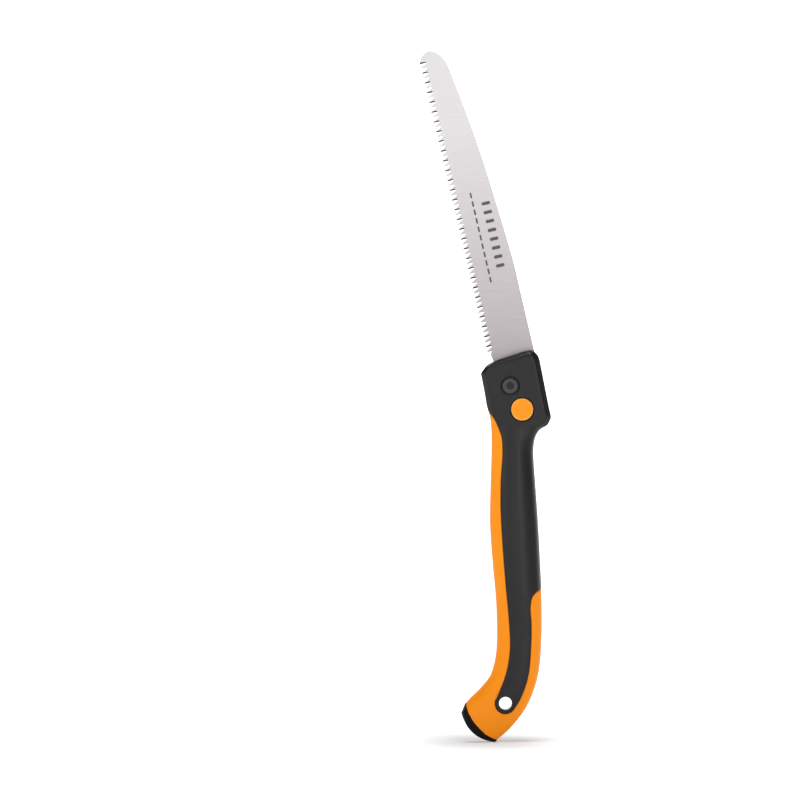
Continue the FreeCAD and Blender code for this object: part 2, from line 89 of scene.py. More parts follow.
def mesh_object(name, points, faces, smooth=True):
    """A mesh from points in millimetres."""
    mesh = bpy.data.meshes.new(name)
    mesh.from_pydata((np.asarray(points, float) * MM).tolist(), [], [tuple(f) for f in faces])
    mesh.validate()
    mesh.update()
    if smooth:
        mesh.polygons.foreach_set("use_smooth", [True] * len(mesh.polygons))
    thing = bpy.data.objects.new(name, mesh)
    bpy.context.scene.collection.objects.link(thing)
    return thing


def clean(thing, merge=True):
    """Merges doubled points and turns every face outwards."""
    bm = bmesh.new()
    bm.from_mesh(thing.data)
    if merge:
        bmesh.ops.remove_doubles(bm, verts=bm.verts, dist=2e-7)
    bmesh.ops.recalc_face_normals(bm, faces=bm.faces)
    bm.to_mesh(thing.data)
    bm.free()
    return thing


def smooth_by_angle(thing, degrees):
    """Smooth shading with sharp edges where faces meet at more than the angle."""
    mesh = thing.data
    mesh.polygons.foreach_set("use_smooth", [True] * len(mesh.polygons))
    bm = bmesh.new()
    bm.from_mesh(mesh)
    limit = math.radians(degrees)
    for edge in bm.edges:
        edge.smooth = len(edge.link_faces) == 2 and edge.calc_face_angle(0) < limit
    bm.to_mesh(mesh)
    bm.free()


def subtract(thing, *tools):
    """Cuts the tools out of the piece, then removes them."""
    for tool in tools:
        change = thing.modifiers.new("cut", "BOOLEAN")
        change.operation = "DIFFERENCE"
        change.solver = "MANIFOLD"
        change.object = tool
        bpy.context.view_layer.update()
        evaluated = thing.evaluated_get(bpy.context.evaluated_depsgraph_get())
        result = bpy.data.meshes.new_from_object(evaluated)
        thing.modifiers.clear()
        thing.data = result
        bpy.data.objects.remove(tool)


def grid_faces(rows, columns):
    """Quads over a grid of points numbered row by row."""
    faces = []
    for r in range(rows - 1):
        for c in range(columns - 1):
            corner = r * columns + c
            faces.append((corner, corner + 1, corner + columns + 1, corner + columns))
    return faces


def lathe(name, profile, centre):
    """A solid of revolution about Y through centre; profile is the (radius, y) points of its section."""
    points = []
    for n in range(ROUND_STEPS):
        turn = 2 * math.pi * n / ROUND_STEPS
        for radius, y in profile:
            points.append((centre.x + radius * math.cos(turn), y, centre.z + radius * math.sin(turn)))
    size = len(profile)
    faces = []
    for n in range(ROUND_STEPS):
        m = (n + 1) % ROUND_STEPS
        for k in range(size):
            j = (k + 1) % size
            faces.append((n * size + k, n * size + j, m * size + j, m * size + k))
    return clean(mesh_object(name, points, faces))


def prism(name, outline, y_low, y_high):
    """A flat-ended bar along Y from an outline in the XZ plane."""
    count = len(outline)
    points = [(x, y_low, z) for x, z in outline] + [(x, y_high, z) for x, z in outline]
    faces = [tuple(range(count)), tuple(range(2 * count - 1, count - 1, -1))]
    faces += [(n, (n + 1) % count, count + (n + 1) % count, count + n) for n in range(count)]
    return clean(mesh_object(name, points, faces, smooth=False))


def circle(x, z, radius):
    """The outline of a round hole or disc in the XZ plane."""
    turns = [2 * math.pi * n / ROUND_STEPS for n in range(ROUND_STEPS)]
    return [(x + radius * math.cos(turn), z + radius * math.sin(turn)) for turn in turns]


def bore(name, centre, sign, radius, depth):
    """A cutter for a round hole on one side of the handle, from a depth to past the surface."""
    low, high = sorted((sign * depth, sign * FAR))
    return prism(name, circle(centre.x, centre.z, radius), low, high)


def hang_bore(radius):
    """A cutter for the hang hole, right through."""
    return prism("hang", circle(0, 0, radius), -FAR, FAR)


def ease(value, low, high):
    """0 below low, 1 above high, smooth between."""
    t = np.clip((np.asarray(value, float) - low) / (high - low), 0, 1)
    return t * t * (3 - 2 * t)


def through(controls, count_per_span=24):
    """A smooth curve (centripetal Catmull-Rom) through rows of control values, with its parameter."""
    p = np.asarray(controls, float)
    p = np.vstack([2 * p[0] - p[1], p, 2 * p[-1] - p[-2]])
    out = []
    where = []
    for i in range(1, len(p) - 2):
        knots = [0.0]
        for a, b in ((p[i - 1], p[i]), (p[i], p[i + 1]), (p[i + 1], p[i + 2])):
            knots.append(knots[-1] + max(np.linalg.norm(b - a), 1e-6) ** 0.5)
        t0, t1, t2, t3 = knots
        for s in np.linspace(0, 1, count_per_span, endpoint=False):
            t = t1 + s * (t2 - t1)
            a1 = (t1 - t) / (t1 - t0) * p[i - 1] + (t - t0) / (t1 - t0) * p[i]
            a2 = (t2 - t) / (t2 - t1) * p[i] + (t - t1) / (t2 - t1) * p[i + 1]
            a3 = (t3 - t) / (t3 - t2) * p[i + 1] + (t - t2) / (t3 - t2) * p[i + 2]
            b1 = (t2 - t) / (t2 - t0) * a1 + (t - t0) / (t2 - t0) * a2
            b2 = (t3 - t) / (t3 - t1) * a2 + (t - t1) / (t3 - t1) * a3
            out.append((t2 - t) / (t2 - t1) * b1 + (t - t1) / (t2 - t1) * b2)
            where.append(i - 1 + s)
    out.append(p[-2])
    where.append(len(controls) - 1.0)
    return np.array(out), np.array(where)


# ---------------------------------------------------------------- the handle's form

# One row per cross-section from the top of the head to the butt: left point (x, z), right point (x, z), half
# thickness at the middle, how far the row bulges past its chord, and how far the section is the head's
# bevelled box (1) or the grip's superellipse (0).
FORM_ROWS = [
    ((-9.0, 289.0), (17.7, 297.7), 7.0, 0, 1.0),
    ((-12.2, 287.5), (20.9, 298.1), 7.6, 0, 1.0),
    ((-15.8, 285.1), (24.2, 297.0), 9.6, 0, 1.0),
    ((-17.3, 283.4), (26.1, 295.2), 10.9, 0, 1.0),
    ((-18.6, 281.5), (27.5, 293.4), 11.0, 0, 1.0),
    ((-20.5, 278.4), (28.8, 290.0), 11.0, 0, 1.0),
    ((-19.9, 274.6), (29.6, 286.2), 11.0, 0, 1.0),
    ((-17.5, 262.0), (33.6, 266.0), 11.0, 0, 1.0),
    ((-15.6, 251.0), (37.3, 247.6), 11.0, 0, 1.0),
    ((-14.6, 247.2), (38.3, 243.4), 11.0, 0, 1.0),
    ((-14.2, 245.6), (38.55, 241.4), 11.0, 0, 0.97),
    ((-13.8, 244.0), (37.9, 239.2), 11.0, 0, 0.92),
    ((-13.3, 241.9), (36.4, 236.0), 11.0, 0, 0.84),
    ((-13.0, 240.2), (34.7, 234.1), 11.1, 0, 0.75),
    ((-12.7, 238.4), (31.8, 232.5), 11.1, 0, 0.65),
    ((-12.4, 236.4), (29.0, 230.5), 11.1, 0, 0.52),
    ((-12.3, 233.4), (26.7, 227.4), 11.2, 0, 0.38),
    ((-12.0, 229.2), (24.9, 222.9), 11.4, 0, 0.22),
    ((-11.9, 220.0), (23.8, 215.0), 11.8, 0, 0.06),
    ((-12.1, 205.0), (24.1, 203.0), 12.4, 0, 0.0),
    ((-12.9, 178.0), (26.0, 177.0), 13.4, 0, 0.0),
    ((-13.1, 149.6), (27.9, 149.0), 14.0, 0, 0.0),
    ((-10.9, 118.0), (29.5, 118.0), 14.2, 0, 0.0),
    ((-7.9, 84.5), (30.8, 85.0), 14.0, 0, 0.0),
    ((-7.3, 53.0), (30.6, 54.0), 13.8, 0, 0.0),
    ((-9.2, 35.0), (28.7, 29.0), 13.7, 0, 0.0),
    ((-13.0, 23.2), (24.6, 12.0), 13.6, 0.3, 0.0),
    ((-21.0, 13.0), (17.0, -5.0), 13.6, 1.6, 0.0),
    ((-29.0, 5.2), (4.5, -21.1), 13.5, 4.0, 0.0),
    ((-33.4, 0.2), (-7.4, -31.5), 13.3, 6.4, 0.0),
]
SECTION_POWER = 2.7
HEAD_HALF = 11.0
BEVEL = 4.0
LEAST_HALF_WIDTH = 8.0  # the bevels of a row narrower than this shrink with it

# Outline of the black overmould on one face, (x, z): up the left edge, down the right edge; an arc round the
# hang hole closes it.
BLACK_LEFT = [(-9.2, 2.0), (-5.1, 10.9), (0.8, 27.8), (3.4, 46.0), (2.5, 70.1), (-0.1, 98.0), (-2.8, 133.0)]
BLACK_LEFT += [(-4.5, 165.0), (-4.3, 188.4), (-2.8, 212.0), (-3.8, 225.5), (-9.2, 238.1), (-13.4, 244.2)]
BLACK_RIGHT = [(36.0, 99.0), (29.9, 95.8), (23.6, 90.2), (21.6, 82.0), (22.4, 66.0), (21.9, 45.0)]
BLACK_RIGHT += [(19.6, 22.5), (13.2, 3.8), (7.6, -5.4)]
RING_RADIUS = 9.3
# On the head's left side wall the overmould's lower edge slopes: it is lowest on the face.
WALL_START = 225.0
WALL_SLOPE = 0.6
WALL_DEPTH = 7.5


def section(weight, half_width, half, columns):
    """One front half section: across (-1 to 1) and height (0 to half) for parameters in columns (0 to 1)."""
    angle = np.pi * columns
    cosine = -np.cos(angle)
    sine = np.sin(angle)
    across = np.sign(cosine) * np.abs(cosine) ** (2 / SECTION_POWER)
    height = np.clip(sine, 0, 1) ** (2 / SECTION_POWER)
    # The bevelled box: side wall, bevel, flat face, bevel, side wall, with its corners softened.
    edge = BEVEL / max(half_width, LEAST_HALF_WIDTH)
    wall = max(half - BEVEL, 0.4) / half
    dense = np.linspace(-0.06, 1.06, 561)
    stops = [-0.06, 0.0, 0.17, 0.27, 0.73, 0.83, 1.0, 1.06]
    box_across = np.interp(dense, stops, [-1, -1, -1, edge - 1, 1 - edge, 1, 1, 1])
    box_height = np.interp(dense, stops, [-0.3, 0, wall, 1, 1, wall, 0, -0.3])
    kernel = np.hanning(9)
    kernel /= kernel.sum()
    box_across = np.convolve(np.pad(box_across, 4, mode="edge"), kernel, "valid")
    box_height = np.convolve(np.pad(box_height, 4, mode="edge"), kernel, "valid")
    across = weight * np.interp(columns, dense, box_across) + (1 - weight) * across
    height = weight * np.clip(np.interp(columns, dense, box_height), 0, 1) + (1 - weight) * height
    ends = (columns <= 0) | (columns >= 1)
    height = np.where(ends, 0.0, height)
    return across, height * half


def bent_row(left, right, bulge, across, height):
    """Points of one row: across runs along its chord, bulged down in the middle; height is towards -Y."""
    width = np.linalg.norm(right - left)
    way = (right - left) / width
    normal = np.array([way[1], -way[0]])
    middle = (left + right) / 2
    bend = bulge * (1 - across**2)
    x = middle[0] + way[0] * across * width / 2 + normal[0] * bend
    z = middle[1] + way[1] * across * width / 2 + normal[1] * bend
    return np.stack([x, -height, z], axis=-1)


class Form:
    """The handle's outer surface, by row (0 to the last control row) and column (0 to 1)."""

    def __init__(self):
        values = [(*left, *right, half, bulge, weight) for left, right, half, bulge, weight in FORM_ROWS]
        self.values, self.where = through(values)

    def row(self, u):
        v = [np.interp(u, self.where, self.values[:, k]) for k in range(7)]
        return np.array(v[0:2]), np.array(v[2:4]), v[4], v[5], min(max(v[6], 0), 1)

    def points(self, u, columns):
        left, right, half, bulge, weight = self.row(u)
        half_width = np.linalg.norm(right - left) / 2
        across, height = section(weight, half_width, half, np.asarray(columns, float))
        return bent_row(left, right, bulge, across, height)


form = Form()


def black_outline():
    """The overmould's outline as a dense closed polygon."""
    left, _ = through(BLACK_LEFT, 8)
    right, _ = through(BLACK_RIGHT, 8)
    start = math.atan2(right[-1][1], right[-1][0])
    end = math.atan2(left[0][1], left[0][0]) - 2 * math.pi
    turn = np.linspace(start, end, 48)[1:-1]
    ring = np.stack([RING_RADIUS * np.cos(turn), RING_RADIUS * np.sin(turn)], axis=-1)
    above = np.array([(-18.0, 248.0), (-50.0, 252.0), (-50.0, 320.0), (70.0, 320.0), (70.0, 101.0)])
    return np.vstack([left, above, right, ring])


OUTLINE = black_outline()


def outline_distance(points):
    """Signed distance in the XZ plane from each point to the overmould's outline, positive inside it."""
    points = np.asarray(points, float)
    p = points[:, [0, 2]].copy()
    on_wall = (p[:, 0] < 0) & (p[:, 1] > WALL_START)
    below_face = np.clip(WALL_DEPTH - np.abs(points[:, 1]), 0, WALL_DEPTH)
    p[:, 1] -= np.where(on_wall, WALL_SLOPE * below_face, 0)
    best = np.full(len(p), 1e9)
    inside = np.zeros(len(p), bool)
    for a, b in zip(OUTLINE, np.roll(OUTLINE, -1, axis=0)):
        d = b - a
        t = np.clip(((p - a) @ d) / (d @ d), 0, 1)
        best = np.minimum(best, np.hypot(*(p - a - t[:, None] * d).T))
        crosses = (a[1] > p[:, 1]) != (b[1] > p[:, 1])
        if abs(d[1]) > 1e-12:
            inside ^= crosses & (p[:, 0] < a[0] + (p[:, 1] - a[1]) * d[0] / d[1])
    return np.where(inside, best, -best)


DENSE_COLUMNS = np.linspace(0, 1, 241)


def black_span(u):
    """The first and last column of a row that lie in the overmould, or None."""
    d = outline_distance(form.points(u, DENSE_COLUMNS))
    inside = np.flatnonzero(d > 0)
    if not len(inside):
        return None

    def crossing(k, step):
        n = k - step
        if not 0 <= n < len(d):
            return DENSE_COLUMNS[k]
        return DENSE_COLUMNS[k] + (DENSE_COLUMNS[n] - DENSE_COLUMNS[k]) * d[k] / (d[k] - d[n])

    return crossing(inside[0], 1), crossing(inside[-1], -1)


# Stretches of rows, in row parameters, that lie closer together: the head's top, its lower corner and the
# shoulder below, and where the orange begins on the back edge.
CLOSE_STRETCHES = ((0, 3.2), (8.0, 15.2), (21.9, 23.2))
ROW_STEP = 1.2
CLOSE_STEP = 0.4
LEAST_STEP = 0.03


def row_list():
    """Row parameters, closer together where the overmould's edge runs along a row."""
    lengths = [0.0]
    steps = np.linspace(0, len(FORM_ROWS) - 1, 2001)
    lines = [np.concatenate(form.row(u)[:2]) for u in steps]
    for a, b in zip(lines, lines[1:]):
        lengths.append(lengths[-1] + max(np.hypot(*(b - a)[:2]), np.hypot(*(b - a)[2:])))
    lengths = np.array(lengths)
    end_length = np.interp(overmould_end(), steps, lengths)
    marks = list(np.arange(0, lengths[-1], ROW_STEP))
    for stretch in CLOSE_STRETCHES:
        low, high = np.interp(stretch, steps, lengths)
        marks += list(np.arange(low, high, CLOSE_STEP))
    marks += [end_length + sign * 6 * t**2 for t in np.linspace(0, 1, 22) for sign in (-1, 1)]
    marks += [0.0, lengths[-1], np.nextafter(end_length, 0)]
    marks = np.array(sorted(m for m in marks if 0 <= m <= lengths[-1]))
    keep = [marks[0]]
    for m in marks[1:]:
        if m - keep[-1] > LEAST_STEP:
            keep.append(m)
    keep[-1] = lengths[-1]
    return np.interp(keep, lengths, steps)


def overmould_end():
    """The row parameter where the overmould's round end is left behind, found by halving."""
    low, high = 25.0, 28.5
    for _ in range(30):
        middle = (low + high) / 2
        if black_span(middle):
            low = middle
        else:
            high = middle
    return low


ROWS = row_list()
SPANS = [black_span(u) for u in ROWS]


def eased_columns(low, high, count):
    """Columns from low to high, closer together at both ends."""
    t = (1 - np.cos(np.linspace(0, np.pi, count))) / 2
    return low + (high - low) * t


def overmould_columns(low, high):
    """Columns across the overmould: closer together at both borders and at the head's bevel creases."""
    near_edge = [0, 0.004, 0.012, 0.025, 0.045, 0.075, 0.11, 0.145, 0.160, 0.170, 0.180, 0.2, 0.23, 0.255]
    near_edge += [0.265, 0.275, 0.29, 0.33, 0.38, 0.44]
    half = np.array(near_edge) / 0.5
    width = high - low
    middle = min(max(0.5, low + 0.35 * width), high - 0.35 * width)
    left = low + (middle - low) * half
    right = high - (high - middle) * half
    return np.concatenate([left, [middle], right[::-1]])


def grid_normals(grid):
    """Outward normals of a grid of surface points."""
    du = np.gradient(grid, axis=0)
    dv = np.gradient(grid, axis=1)
    n = np.cross(du, dv)
    length = np.linalg.norm(n, axis=-1, keepdims=True)
    n = n / np.maximum(length, 1e-9)
    if n[len(n) // 2, n.shape[1] // 2, 1] > 0:
        n = -n
    return n


ORANGE_SINK = 0.12
EDGE_SINK = 0.95
EDGE_ROUND = 1.1
OVERMOULD_THICK = 2.2


def groove(distance):
    """How far the orange sinks beside the overmould's edge (a fine line) and under it."""
    return -ORANGE_SINK - 0.45 * np.exp(-((distance / 0.32) ** 2)) - 0.9 * ease(distance, 0.25, 1.2)


def overmould_rise(distance):
    """How far the overmould stands off the form: sunk at its edge, then rounded up to the form itself."""
    t = np.clip(distance / EDGE_ROUND, 0, 1)
    return EDGE_SINK * (np.sqrt(np.clip(1 - (1 - t) ** 2, 0, 1)) - 1)


LEAST_SPAN = 0.04  # the part of a row that the grid's middle columns keep where there is no overmould
SIDE_SPAN = 0.03  # the part of a row that its outer columns keep


def half_shell_grid():
    """Points of the orange front half, with columns that follow the overmould's edge."""
    low, high = SPANS[0]
    grid = []
    for u, span in zip(ROWS, SPANS):
        if span:
            low = max(span[0], SIDE_SPAN)
            high = min(span[1], 1 - SIDE_SPAN)
        if high - low < LEAST_SPAN:
            centre = (low + high) / 2
            low = centre - LEAST_SPAN / 2
            high = centre + LEAST_SPAN / 2
        left = eased_columns(0, low, 20)
        middle = eased_columns(low, high, 26)[1:]
        right = eased_columns(high, 1, 20)[1:]
        grid.append(form.points(u, np.concatenate([left, middle, right])))
    grid = np.array(grid)
    normals = grid_normals(grid)
    distance = outline_distance(grid.reshape(-1, 3)).reshape(grid.shape[:2])
    moved = grid + normals * groove(distance)[..., None]
    moved[:, 0, 1] = 0.0
    moved[:, -1, 1] = 0.0
    moved[..., 1] = np.minimum(moved[..., 1], 0.0)
    return moved


def mirrored(points):
    """The same points on the other side of the saw."""
    return points * np.array([1.0, -1.0, 1.0])


SLOT_CLEARANCE = 1.2  # past the teeth
TIP_CLEARANCE = 0.8
SPINE_CLEARANCE = 0.7
TANG_ROOM = 24.6  # radius
TANG_SHOULDER = (23.3, 7.6)  # where the tang's circle meets the spine's side, across and along the open blade
SPINE_CORNER = 21.2  # along the open blade
OUT_LEFT = -90.0  # past the handle


def blade_point(across, along):
    """A point of the open blade (towards the spine, towards the tip) in the row's X and Z."""
    lean = math.radians(LEAN)
    x = PIVOT.x + across * math.cos(lean) - along * math.sin(lean)
    z = PIVOT.z + across * math.sin(lean) + along * math.cos(lean)
    return x, z


def slot_outline():
    """The blade's room in the XZ plane: tang circle, open way at the top, closed way down the belly."""
    closed = math.radians(FOLD + LEAN - 180)
    floor_at_pivot = PIVOT.x + (TEETH_TO_PIVOT + SLOT_CLEARANCE) / math.cos(closed)

    def floor(z):
        return floor_at_pivot + (PIVOT.z - z) * math.tan(closed)

    def round_pivot(radius, turn):
        return PIVOT.x + radius * math.cos(turn), PIVOT.z + radius * math.sin(turn)

    def past_reach(z):
        return abs(math.hypot(floor(z) - PIVOT.x, z - PIVOT.z) - reach)

    def past_floor(turn):
        x, z = round_pivot(TANG_ROOM, turn)
        return abs(x - floor(z))

    reach = BLADE_REACH + TIP_CLEARANCE
    bottom = min(np.linspace(-40, 0, 400), key=past_reach)
    start = math.atan2(bottom - PIVOT.z, floor(bottom) - PIVOT.x)
    outline = [round_pivot(reach, start - 0.012 * k) for k in range(22, -1, -1)]
    foot = min(np.linspace(-1.2, -0.6, 200), key=past_floor)
    shoulder = math.atan2(TANG_SHOULDER[1], TANG_SHOULDER[0]) + math.radians(LEAN)
    outline += [round_pivot(TANG_ROOM, turn) for turn in np.linspace(foot, shoulder, 24)]
    spine = BLADE_WIDTH - TEETH_TO_PIVOT + SPINE_CLEARANCE
    outline += [blade_point(spine, SPINE_CORNER), blade_point(spine, 60), blade_point(-60, 60)]
    outline += [(OUT_LEFT, PIVOT.z), (OUT_LEFT, outline[0][1])]
    return outline


def slot_cutter(low, high):
    return prism("slot", slot_outline(), low, high)


PAST_PARTING = 0.5  # how far a slot's cutter passes the face where the halves meet
# Round rooms through the orange, as radius and depth from the middle.
BOLT_WAY = (8.6, 6.9)
LOCK_WAY = (10.6, 4.9)
PIN_WAY = (5.3, 1.5)
# Recesses in the overmould, as radii.
BOLT_RECESS = 8.25
FRONT_LOCK_RECESS = 10.2
BACK_LOCK_RECESS = 7.6


def make_shell(side):
    """One orange moulded half, with its slot wall, parting face and hang hole."""
    grid = half_shell_grid()
    sign = -1 if side == "front" else 1
    if side == "back":
        grid = mirrored(grid)
    rows, columns = grid.shape[:2]
    points = grid.reshape(-1, 3)
    faces = grid_faces(rows, columns)
    for r in range(rows - 1):
        first = r * columns
        last = first + columns - 1
        faces.append((first, last, last + columns, first + columns))
    faces.append(tuple(range(columns)))
    faces.append(tuple(range((rows - 1) * columns, rows * columns))[::-1])
    shell = clean(mesh_object(f"{side}_shell_moulding", points, faces), merge=False)
    subtract(
        shell,
        slot_cutter(*sorted((sign * SLOT_HALF, -sign * PAST_PARTING))),
        hang_bore(HANG_RADIUS + 1.2),
        bore("bolt_way", PIVOT, sign, *BOLT_WAY),
        bore("lock_way", LOCK, sign, *LOCK_WAY),
        bore("pin_way", LOCK, sign, *PIN_WAY),
    )
    smooth_by_angle(shell, 35)
    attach(shell, "handle")
    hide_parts(f"{side}_shell")
    return shell


def overmould_grid():
    """Points of the black overmould's outer and inner faces on the front half, closed over the head's top."""
    used = [(u, span) for u, span in zip(ROWS, SPANS) if span and span[1] - span[0] > 0.01]
    top_row, top_span = used[0]
    outer = []
    for fraction in (0.02, 0.12, 0.3, 0.55, 0.8, 0.93):
        points = form.points(top_row, overmould_columns(*top_span))
        points[:, 1] *= fraction
        outer.append(points)
    for u, span in used:
        outer.append(form.points(u, overmould_columns(*span)))
    grid = np.array(outer)
    normals = grid_normals(grid)
    distances = outline_distance(grid.reshape(-1, 3)).reshape(grid.shape[:2])
    at_parting = grid[..., 1] > -0.02
    for column in (0, -1):
        distances[:, column] = np.where(at_parting[:, column], distances[:, column], 0.0)
    rise = overmould_rise(np.maximum(distances, 0))
    face = grid + normals * rise[..., None]
    back = grid - normals * OVERMOULD_THICK
    for part in (face, back):
        part[..., 1] = np.minimum(part[..., 1], 0.0)
    face[..., 1] = np.where(at_parting, 0.0, face[..., 1])
    return face, back


def make_softgrip(side):
    """The black overmould of one half: head, grip and the ring round the hang hole."""
    face, back = overmould_grid()
    sign = -1 if side == "front" else 1
    if side == "back":
        face = mirrored(face)
        back = mirrored(back)
    rows, columns = face.shape[:2]
    count = rows * columns
    points = np.vstack([face.reshape(-1, 3), back.reshape(-1, 3)])
    faces = grid_faces(rows, columns)
    faces += [tuple(count + n for n in quad[::-1]) for quad in grid_faces(rows, columns)]
    rim = [(0, c) for c in range(columns)] + [(r, columns - 1) for r in range(1, rows)]
    rim += [(rows - 1, c) for c in range(columns - 2, -1, -1)] + [(r, 0) for r in range(rows - 2, 0, -1)]
    ring = [r * columns + c for r, c in rim]
    for a, b in zip(ring, ring[1:] + ring[:1]):
        faces.append((a, b, count + b, count + a))
    grip = clean(mesh_object(f"{side}_overmould", points, faces), merge=False)
    lock_radius = FRONT_LOCK_RECESS if side == "front" else BACK_LOCK_RECESS
    subtract(
        grip,
        slot_cutter(*sorted((sign * (SLOT_HALF + 0.03), -sign * PAST_PARTING))),
        hang_bore(HANG_RADIUS + 0.35),
        bore("bolt_recess", PIVOT, sign, BOLT_RECESS, depth=5.0),
        bore("lock_recess", LOCK, sign, lock_radius, depth=4.0),
    )
    rim_top = HEAD_HALF + 0.15
    rims = [
        rim_ring("bolt_rim", PIVOT, sign, BOLT_RECESS, floor=7.4, top=rim_top),
        ring_floor("bolt_floor", PIVOT, sign, inner=5.0, outer=BOLT_WAY[0], low=6.95, high=7.38),
    ]
    if side == "front":
        rims.append(rim_ring("lock_rim", LOCK, sign, lock_radius, floor=5.0, top=rim_top))
        rims.append(ring_floor("lock_floor", LOCK, sign, inner=9.45, outer=10.5, low=5.0, high=7.0))
    else:
        rims.append(rim_ring("lock_rim", LOCK, sign, lock_radius, floor=9.3, top=rim_top))
    rims.append(rim_ring("hang_rim", Vector(), sign, HANG_RADIUS, floor=0.0, top=13.75, lip=0.5))
    join(grip, rims + grip_bars(sign))
    smooth_by_angle(grip, 35)
    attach(grip, "handle")
    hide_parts(f"{side}_softgrip")
    return grip


def rim_ring(name, centre, sign, radius, floor, top, lip=0.35):
    """A thin lining of a round recess, with a rounded edge at the surface."""
    wall = 0.9
    turns = np.linspace(0, math.pi / 2, 6)
    arc = [(radius + lip - lip * math.cos(turn), top - lip + lip * math.sin(turn)) for turn in turns]
    profile = [(radius, floor)] + arc + [(radius + wall, top - 0.02), (radius + wall + 0.15, top - 0.5)]
    profile += [(radius + wall, floor)]
    return lathe(name, [(r, sign * y) for r, y in profile], centre)


def bar(name, centre, across, along, y_low, y_high, turn=0.0):
    """A flat bar with cut corners, lying in the XZ plane."""
    cut = 0.25 * min(across, along)
    a = across / 2
    b = along / 2
    corners = [(a - cut, -b), (a, cut - b), (a, b - cut), (a - cut, b)]
    corners += [(-x, -y) for x, y in corners]
    cosine = math.cos(math.radians(turn))
    sine = math.sin(math.radians(turn))
    outline = [(centre[0] + x * cosine - y * sine, centre[1] + x * sine + y * cosine) for x, y in corners]
    return prism(name, outline, y_low, y_high)


BAR_COUNT = 9
FIRST_BAR = 56.5
BAR_STEP = 3.8


def grip_bars(sign):
    """A row of low raised bars beside the grip's back edge, on a slight curve."""
    low, high = sorted((sign * 11.0, sign * 14.0))
    bars = []
    for n in range(BAR_COUNT):
        z = FIRST_BAR + BAR_STEP * n
        x = 17.6 - 0.0009 * (z - 72) ** 2
        bars.append(bar("grip_bar", (x, z), 4.6, 1.3, low, high))
    return bars


def ring_floor(name, centre, sign, inner, outer, low, high):
    """A flat black ring that closes the gap round a part sunk in a recess."""
    profile = [(inner, low), (outer, low), (outer, high), (inner, high)]
    return lathe(name, [(r, sign * y) for r, y in profile], centre)


def join(thing, others):
    """Adds the other meshes to the first one."""
    bm = bmesh.new()
    bm.from_mesh(thing.data)
    for other in others:
        bm.from_mesh(other.data)
        bpy.data.objects.remove(other)
    bm.to_mesh(thing.data)
    bm.free()


# ---------------------------------------------------------------- butt cap


CAP_HALF = 13.6
CAP_STRAIGHT = 0.42  # how much of the cap's height is a straight wall, before its rounding
CAP_DROP = 3.6  # how much lower the rounding leaves the face at the end


def cap_steps():
    """Rows of the cap: how far from the orange to the end (0 to 1), and the half thickness there."""
    steps = [(0.0, CAP_HALF)] + [(t, CAP_HALF) for t in np.linspace(0.04, CAP_STRAIGHT, 6)]
    for turn in np.linspace(0, math.pi / 2, 11)[1:]:
        t = CAP_STRAIGHT + (1 - CAP_STRAIGHT) * math.sin(turn)
        steps.append((t, CAP_HALF - CAP_DROP * (1 - math.cos(turn))))
    return steps + [(1.0, half) for half in (8.8, 7.0, 4.6, 2.2, 0.0)]


def make_cap():
    """The black rubber cap on the butt, with rounded edges and the slot for the blade's tip."""
    left_start, left_end = np.array([-33.7, 0.5]), np.array([-37.2, -8.3])
    right_start, right_end = np.array([-6.9, -31.3]), np.array([-8.4, -32.9])
    bulge_start, bulge_end = 5.9, 6.4
    columns = np.linspace(0, 1, 61)
    grid = []
    for t, half in cap_steps():
        left = left_start + (left_end - left_start) * t
        right = right_start + (right_end - right_start) * t
        bulge = bulge_start + (bulge_end - bulge_start) * t
        across, height = section(0.0, np.linalg.norm(right - left) / 2, 1.0, columns)
        grid.append(bent_row(left, right, bulge, across, height * half))
    front = np.array(grid)
    rows, count = front.shape[:2]
    points = np.vstack([front.reshape(-1, 3), mirrored(front).reshape(-1, 3)])
    size = rows * count
    quads = grid_faces(rows, count)
    faces = quads + [tuple(size + n for n in quad[::-1]) for quad in quads]
    faces.append(tuple(range(count)) + tuple(size + n for n in range(count - 2, 0, -1)))
    cap = clean(mesh_object("butt_cap_rubber", points, faces))
    subtract(cap, slot_cutter(-SLOT_HALF, SLOT_HALF))
    smooth_by_angle(cap, 35)
    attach(cap, "handle")
    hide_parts("butt_cap")
    return cap


# ---------------------------------------------------------------- blade

TOOTH_PITCH = 4.235
TOOTH_COUNT = 60
FIRST_TOOTH = 32.0
TOOTH_DEPTH = 5.4
BLADE_HALF = 0.7
NOSE_STEPS = 8
PIVOT_HOLE = 5.55


def blade_to_row(outline, y):
    """An outline in the blade's frame (towards the spine, towards the tip), placed in the row at a depth."""
    return [(x, y, z) for x, z in (blade_point(across, along) for across, along in outline)]


def arc_points(centre, radius, start, end, count):
    turns = np.radians(np.linspace(start, end, count))
    return [(centre[0] + radius * math.cos(turn), centre[1] + radius * math.sin(turn)) for turn in turns]


